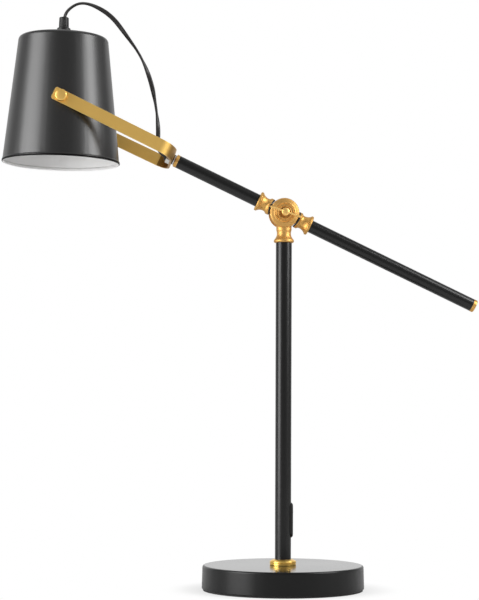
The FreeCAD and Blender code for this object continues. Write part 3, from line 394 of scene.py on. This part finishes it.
# Soft boxes: name, place, target, width, height, power in watts
SOFT_BOXES = [
    ("left_box", (-1.62, -0.62, 0.72), (-0.15, 0, 0.42), 1.1, 1.5, 34),
    ("right_box", (1.15, -0.55, 1.02), (-0.20, 0, 0.50), 0.62, 1.0, 19.5),
    ("top_box", (-0.1, 0.15, 1.9), (-0.1, 0.0, 0.3), 1.2, 0.9, 3),
]


def make_floor():
    """Pale floor that keeps the shadow near the lamp and fades to plain white."""
    finish = Finish("studio_floor")
    camera_ray = finish.node("ShaderNodeLightPath", output="Is Camera Ray")
    away = finish.between(finish.reach(), FLOOR_NEAR, FLOOR_FAR, NEAR_WHITE, 1.0)
    tone = rgb(FLOOR_TONE, FLOOR_TONE, FLOOR_TONE)
    diffuse = finish.node("ShaderNodeBsdfDiffuse", inputs={"Color": tone})
    white = finish.node("ShaderNodeEmission", inputs={"Color": rgb(1, 1, 1), "Strength": 1.0})
    mixed = finish.node("ShaderNodeMixShader", inputs={0: camera_ray * away, 1: diffuse, 2: white})
    finish.node("ShaderNodeOutputMaterial", inputs={"Surface": mixed})
    shape = bmesh.new()
    bmesh.ops.create_circle(shape, cap_ends=True, segments=96, radius=FLOOR_RADIUS)
    floor = link_object("floor", finish_mesh(shape, "floor", finish.material))


def make_surround():
    """White to the camera, a plain level of light, and a darker front for mirrored rays."""
    world = bpy.data.worlds.new("studio")
    bpy.context.scene.world = world
    world.use_nodes = True
    graph = Graph(world.node_tree)
    direction = graph.node("ShaderNodeTexCoord", output="Generated")
    depth = graph.node("ShaderNodeSeparateXYZ", inputs={"Vector": direction}, output="Y")

    def glow(strength):
        inputs = {"Color": rgb(1, 1, 1), "Strength": strength}
        return graph.node("ShaderNodeBackground", inputs=inputs)

    mirrored = glow(graph.between(depth, GLOW_LOW, GLOW_HIGH, FRONT_GLOW, 1.0))
    unseen = graph.either("Is Glossy Ray", glow(AMBIENT), mirrored)
    surround = graph.either("Is Camera Ray", unseen, glow(1.0))
    graph.node("ShaderNodeOutputWorld", inputs={"Surface": surround})


def soft_light(name, place, target, width, height, power):
    data = bpy.data.lights.new(name, "AREA")
    data.shape = "RECTANGLE"
    data.size = width
    data.size_y = height
    data.energy = power
    light = link_object(name, data)
    light.location = place
    aim = Vector(target) - Vector(place)
    light.rotation_euler = aim.to_track_quat("-Z", "Y").to_euler()


def set_stage():
    make_floor()
    make_surround()
    for box in SOFT_BOXES:
        soft_light(*box)


# ------------------------------------------------------------------ pieces

# Angle between faces, in degrees, from which an edge is broken or shaded as sharp.
BREAK_FROM = 28
SHARP_FROM = 32
CORD_SHARP_FROM = 60
# Points this near, in metres, are joined, and faces within this many degrees are merged.
JOIN_WITHIN = 0.002 * MM
MERGE_WITHIN = 0.3
# The most by which edges of sheet, paint, small, turned and strip work are broken, in
# millimetres. The bevel is clamped on shapes with short edges, on some of them to nothing.
SHEET_EDGE, PAINTED_EDGE, SMALL_EDGE, TURNED_EDGE, STRIP_EDGE = 0.12, 0.15, 0.2, 0.25, 0.45
# How strongly wide faces rule the shading at narrow edges; 50 is neutral.
WIDE_FACE_WEIGHT = 90


def finish_mesh(shape, name, *materials, sharp=SHARP_FROM):
    """Turns a bmesh into a mesh, smooth except across its sharp edges."""
    mesh = bpy.data.meshes.new(name)
    shape.to_mesh(mesh)
    shape.free()
    mesh.shade_smooth()
    mesh.set_sharp_from_angle(angle=math.radians(sharp))
    for material in materials:
        mesh.materials.append(material)
    return mesh


def joined_copy(node):
    """A copy of a node's mesh with its loose triangles joined to wide faces."""
    shape = bmesh.new()
    shape.from_mesh(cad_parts[node].data)
    bmesh.ops.remove_doubles(shape, verts=shape.verts, dist=JOIN_WITHIN)
    bmesh.ops.dissolve_limit(
        shape, angle_limit=math.radians(MERGE_WITHIN), verts=shape.verts, edges=shape.edges
    )
    return shape


def break_edges(shape, edge):
    """Bevels sharp edges by edge at most: outer ones are marked worn, inner ones marked for painted
    shade in the crease.
    """
    marks = [shape.faces.layers.float.new(name) for name in ("worn", "painted_crease_shade")]
    limit = math.radians(BREAK_FROM)
    for mark, side in zip(marks, (1, -1)):
        corners = [
            e for e in shape.edges if e.is_manifold and e.calc_face_angle_signed() * side > limit
        ]
        made = bmesh.ops.bevel(
            shape,
            geom=corners,
            offset=edge * MM,
            offset_type="OFFSET",
            affect="EDGES",
            segments=2,
            profile=0.5,
            material=-1,
            clamp_overlap=True,
        )
        for face in made["faces"]:
            face[mark] = 1.0


def add_skin(shape, edge, node, body, slot, *materials):
    """A shape with its edges broken, as the piece that stands for a node on its body."""
    break_edges(shape, edge)
    name = f"{node}_skin"
    piece = link_object(name, finish_mesh(shape, name, *materials))
    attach(piece, body)
    weighted = piece.modifiers.new("shading", "WEIGHTED_NORMAL")
    weighted.mode = "FACE_AREA"
    weighted.weight = WIDE_FACE_WEIGHT
    weighted.keep_sharp = True
    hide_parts(node)


def dress(body, slot, material, edge, *nodes):
    """The nodes' own shapes with their edges broken by edge at most, in millimetres."""
    for node in nodes:
        add_skin(joined_copy(node), edge, node, body, slot, material)


def paint(material, *nodes):
    """A better material on nodes that keep their own mesh."""
    for node in nodes:
        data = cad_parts[node].data
        data.materials.clear()
        data.materials.append(material)


# -------------------------------------------------------------- shade cord

# Control points of the cord's line, x and z in the plane of the arm, from gland to yoke.
CORD_ROUTE = [
    (-0.25957, 0.6626),
    (-0.25936, 0.6734),
    (-0.2526, 0.6828),
    (-0.2406, 0.6894),
    (-0.2246, 0.6866),
    (-0.2038, 0.6744),
    (-0.1868, 0.6522),
    (-0.1694, 0.6282),
    (-0.1574, 0.5990),
    (-0.1510, 0.5660),
    (-0.1486, 0.5410),
    (-0.1496, 0.5252),
    (-0.14646, 0.51433),
    (-0.13706, 0.50989),
]
# Turn of the cord's flat about its line: share of its length, degrees.
CORD_TWIST = [
    (0, 30),
    (0.14, 22),
    (0.28, 88),
    (0.5, 180),
    (0.64, 268),
    (0.75, 352),
    (0.87, 440),
    (1, 455),
]
CORD_HALF_WIDTH, CORD_HALF_THICKNESS = 2.7 * MM, 1.6 * MM
CORD_SIDES = 20
# Groove between the two cores: its depth as a share of the thickness, and its half width.
GROOVE_DEPTH, GROOVE_REACH = 0.16, 0.28
# Below 1, the section's ends are fuller than an ellipse's.
SECTION_POWER = 0.85


def route_line(name, points):
    """Points along the smooth curve that the route's points control."""
    curve = bpy.data.curves.new(name, "CURVE")
    curve.dimensions = "3D"
    curve.resolution_u = 16
    spline = curve.splines.new("NURBS")
    spline.points.add(len(points) - 1)
    for point, (x, z) in zip(spline.points, points):
        point.co = (x, 0, z, 1)
    spline.order_u = 3
    spline.use_endpoint_u = True
    line = bpy.data.objects.new(name, curve)
    mesh = bpy.data.meshes.new_from_object(line)
    path = [vertex.co.copy() for vertex in mesh.vertices]
    bpy.data.objects.remove(line)
    bpy.data.curves.remove(curve)
    bpy.data.meshes.remove(mesh)
    return path


def cord_twist(share):
    """Turn of the cord's flat at a share of its length, eased between the stops."""
    for (low, first), (high, second) in zip(CORD_TWIST, CORD_TWIST[1:]):
        if share <= high:
            step = (share - low) / (high - low)
            return first + (second - first) * step * step * (3 - 2 * step)
    return CORD_TWIST[-1][1]


def cord_section(shape, point, wide, thick):
    """One ring of the flat two-core section, round a point of the cord's line."""
    circle = bmesh.ops.create_circle(shape, segments=CORD_SIDES, radius=1.0)["verts"]
    for vertex in circle:
        x, y = vertex.co.x, vertex.co.y
        waist = 1 - GROOVE_DEPTH * math.exp(-((x / GROOVE_REACH) ** 2))
        flat_x = math.copysign(abs(x) ** SECTION_POWER, x)
        across = wide * (flat_x * CORD_HALF_WIDTH)
        vertex.co = point + across + thick * (y * CORD_HALF_THICKNESS * waist)
    return list({edge for vertex in circle for edge in vertex.link_edges})


def make_shade_cord(material):
    """Flat two-core cord that twists as it goes over from the gland to the yoke."""
    path = route_line("cord_route", CORD_ROUTE)
    lengths = [0.0]
    for before, after in zip(path, path[1:]):
        lengths.append(lengths[-1] + (after - before).length)
    total = lengths[-1]
    shape = bmesh.new()
    loops = []
    level = Vector((0, 1, 0))
    for index, point in enumerate(path):
        before = path[max(index - 1, 0)]
        after = path[min(index + 1, len(path) - 1)]
        along = (after - before).normalized()
        outward = along.cross(level).normalized()
        twist = math.radians(cord_twist(lengths[index] / total))
        wide = level * math.cos(twist) + outward * math.sin(twist)
        loops.append(cord_section(shape, point, wide, along.cross(wide)))
    for first, second in zip(loops, loops[1:]):
        bmesh.ops.bridge_loops(shape, edges=first + second)
    bmesh.ops.contextual_create(shape, geom=loops[0])
    bmesh.ops.contextual_create(shape, geom=loops[-1])
    bmesh.ops.recalc_face_normals(shape, faces=shape.faces)
    mesh = finish_mesh(shape, "shade_flex", material, sharp=CORD_SHARP_FROM)
    piece = link_object("shade_flex", mesh)
    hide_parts("shade_cord")
    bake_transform(piece)


# --------------------------------------------------- shade, base and yoke

# The shade in its own frame, in millimetres: its cone's outer radius at the mouth and at
# the top, their heights, and the wall.
RIM, RIM_LOW = 68.4, -68.0
TOP_RADIUS, TOP = 52.0, 78.8
WALL = 0.8
# The hem's band of painted shade ends here, and the white starts inside the hem's foot.
LIP_TOP = -65.9
HEM_FOOT_TOP = RIM_LOW + 1.2
HEM_FOOT_INNER = RIM - 1.3
# Faces above this height belong to the shade's top.
CROWN_LOW = 70.0
# A face of the cone is inside when its centre is this much nearer than the wall's middle.
INNER_MARGIN = 0.2

# A face this nearly level belongs to the base's top.
LEVEL = 0.99
# In the arm's frame: the yoke's bends start here, and faces this far turned look inward and get
# painted shade.
BEND_START = -0.168
LOOKS_INWARD = -0.30


def is_inside(centre, normal):
    """Tells whether a face of the shade, given in its frame, looks to the inside."""
    radius = math.hypot(centre.x, centre.y)
    if centre.z < HEM_FOOT_TOP:
        return radius < HEM_FOOT_INNER
    if centre.z > CROWN_LOW:
        outward = Vector((centre.x, centre.y, 0)).normalized() + Vector((0, 0, 1))
        return normal.dot(outward) < 0
    return radius < wall_middle(centre.z) - INNER_MARGIN


def wall_middle(height):
    """Radius of the middle of the shade's wall at a height."""
    slope = (RIM - TOP_RADIUS) / (TOP - RIM_LOW)
    return RIM - slope * (height - RIM_LOW) - WALL / 2


def make_shade(outside, inside, lip_shade):
    """The shade's skin: black outside, painted shade on the hem's lip, off-white inside."""
    shape = joined_copy("shade_shell")
    bmesh.ops.bisect_plane(
        shape,
        geom=shape.verts[:] + shape.edges[:] + shape.faces[:],
        plane_co=SHADE_FRAME @ Vector((0, 0, LIP_TOP * MM)),
        plane_no=SHADE_FRAME.to_3x3() @ Vector((0, 0, 1)),
    )
    to_shade = SHADE_FRAME.inverted()
    turn = to_shade.to_3x3()
    for face in shape.faces:
        centre = to_shade @ face.calc_center_median() / MM
        radius = math.hypot(centre.x, centre.y)
        if is_inside(centre, turn @ face.normal):
            face.material_index = 1
        # Outer faces below LIP_TOP get the painted shade of the hem's lip.
        elif centre.z < LIP_TOP and radius > wall_middle(centre.z):
            face.material_index = 2
    add_skin(shape, SHEET_EDGE, "shade_shell", "shade", "shade_paint", outside, inside, lip_shade)


def make_base(side, top):
    """The base's skin, its top in a lighter, glossier copy of the side's enamel: a painted
    reflection that brightens the top.
    """
    shape = joined_copy("base_shell")
    for face in shape.faces:
        if face.normal.z > LEVEL:
            face.material_index = 1
    add_skin(shape, PAINTED_EDGE, "base_shell", "stand", "black_paint", side, top)


def make_yoke(brass):
    """The yoke's skin, marked for painted shade on the inside of its bends and web."""
    shape = joined_copy("yoke")
    painted_bend_shade = shape.faces.layers.float.new("painted_bend_shade")
    to_arm = ARM_FRAME.inverted()
    turn = to_arm.to_3x3()
    for face in shape.faces:
        at_bend = (to_arm @ face.calc_center_median()).x > BEND_START
        if at_bend and (turn @ face.normal).x < LOOKS_INWARD:
            face[painted_bend_shade] = 1.0
    add_skin(shape, STRIP_EDGE, "yoke", "arm", "aged_brass", brass)


# ------------------------------------------------------------------- build

bpy.context.scene.view_settings.view_transform = "Standard"
set_camera()
set_stage()

enamel = black_enamel("black_enamel", 0.0006, 0.31, 0.44)
base_black = black_enamel("base_black_enamel", 0.0004, 0.34, 0.33)
# Painted reflection: the base's top gets a lighter, glossier copy of its side's enamel.
painted_top_sheen = black_enamel("base_top_black_enamel", 0.003, 0.15, 0.50)
shade_black = black_enamel("shade_black_enamel", 0.003, 0.37, 0.68)
# Painted shade: a darker, barely glossy black for the hem's lip.
hem_painted_shade = black_enamel("hem_painted_shade", 0.002, 0.50, 0.08)

on_arm = turned_lines(ARM_ALONG, HUB)
on_hub = faced_lines(HUB)
on_knob = faced_lines(tuple(SHADE_PIVOT))
# Each brass piece's tint is set to the brightness it shows, so these are partly lit and shaded
# copies of one brass.
strip_brass = satin_brass(
    "antique_brass_strip", arm_brushing, 0.44, (1.06, 1.05, 1.06), painted_web_shade
)
arm_brass = satin_brass("antique_brass_turned_arm", on_arm, 0.49, (0.71, 0.63, 0.67))
hub_brass = satin_brass("antique_brass_hub", on_hub, 0.50, (0.71, 0.62, 0.68))
# Painted highlight: the clamp's lighter tint brightens the screw's head and bar.
clamp_painted_highlight_brass = satin_brass("antique_brass_clamp", on_hub, 0.44, (1.10, 1.06, 1.25))
foot_brass = satin_brass("antique_brass_foot", turned_lines(), 0.36, (1.06, 1.06, 0.98))
knob_brass = satin_brass("antique_brass_knob", on_knob, 0.43, (1.08, 1.06, 1.1))
# Painted shade: the washer's dark tint darkens the recess round the clamp screw's head.
recess_shade_brass = satin_brass("antique_brass_washer", on_hub, 0.44, (0.46, 0.36, 0.34))

zinc = bright_zinc("bright_zinc")
plastic = moulded_black("black_moulding", 0.003, 0.46)
spacer = moulded_black("black_fibre", 0.008, 0.6)

make_shade_cord(flex_sheath("flex_sheath"))
make_base(base_black, painted_top_sheen)
dress("stand", "black_paint", enamel, PAINTED_EDGE, "column_tube")
dress("arm", "black_paint", enamel, PAINTED_EDGE, "front_arm_tube", "rear_arm_tube")
dress("stand", "aged_brass", foot_brass, SMALL_EDGE, "foot_collar")
dress("stand", "aged_brass", hub_brass, SMALL_EDGE, "column_knuckle")
dress("arm", "aged_brass", arm_brass, TURNED_EDGE, "front_arm_collar", "rear_arm_collar")
dress("arm", "aged_brass", arm_brass, TURNED_EDGE, "arm_ferrule", "rear_end_cap")
dress("arm", "aged_brass", arm_brass, TURNED_EDGE, "arm_knuckle")
make_yoke(strip_brass)
dress("clamp", "aged_brass", clamp_painted_highlight_brass, SMALL_EDGE, "clamp_screw", "clamp_bar")
dress("near_knob", "aged_brass", knob_brass, TURNED_EDGE, "near_pivot_knob")
dress("far_knob", "aged_brass", knob_brass, TURNED_EDGE, "far_pivot_knob")
make_shade(shade_black, shade_white("shade_white"), hem_painted_shade)
dress("shade", "black_plastic", plastic, PAINTED_EDGE, "cord_gland")
dress("stand", "black_plastic", plastic, SMALL_EDGE, "switch_housing")
dress("rocker", "black_plastic", plastic, SMALL_EDGE, "switch_rocker")

paint(zinc, "yoke_locknut", "yoke_nut", "yoke_nipple", "clamp_nut", "friction_washers")
paint(zinc, "pivot_bushes", "holder_nipple", "holder_nut", "rocker_pin", "column_nipple")
paint(zinc, "foot_washer", "foot_nut", "column_foot_plug", "counterweight_bar")
paint(zinc, "screw_shell", "centre_contact", "switch_terminals")
# Of these, the yoke spacer is a black piece that stands for the shade at the neck of the yoke's
# nipple: painted shade.
paint(spacer, "front_gap_ring", "rear_gap_ring", "ferrule_washer", "yoke_spacer")
paint(spacer, "pivot_washers", "nipple_bush", "lampholder_cap", "lampholder_body")
paint(spacer, "arm_lead", "column_lead", "mains_lead_bush")
paint(recess_shade_brass, "clamp_washer")
paint(cast_iron("cast_weight_iron"), "base_weight")
paint(foam("foam_pad"), "base_pad")
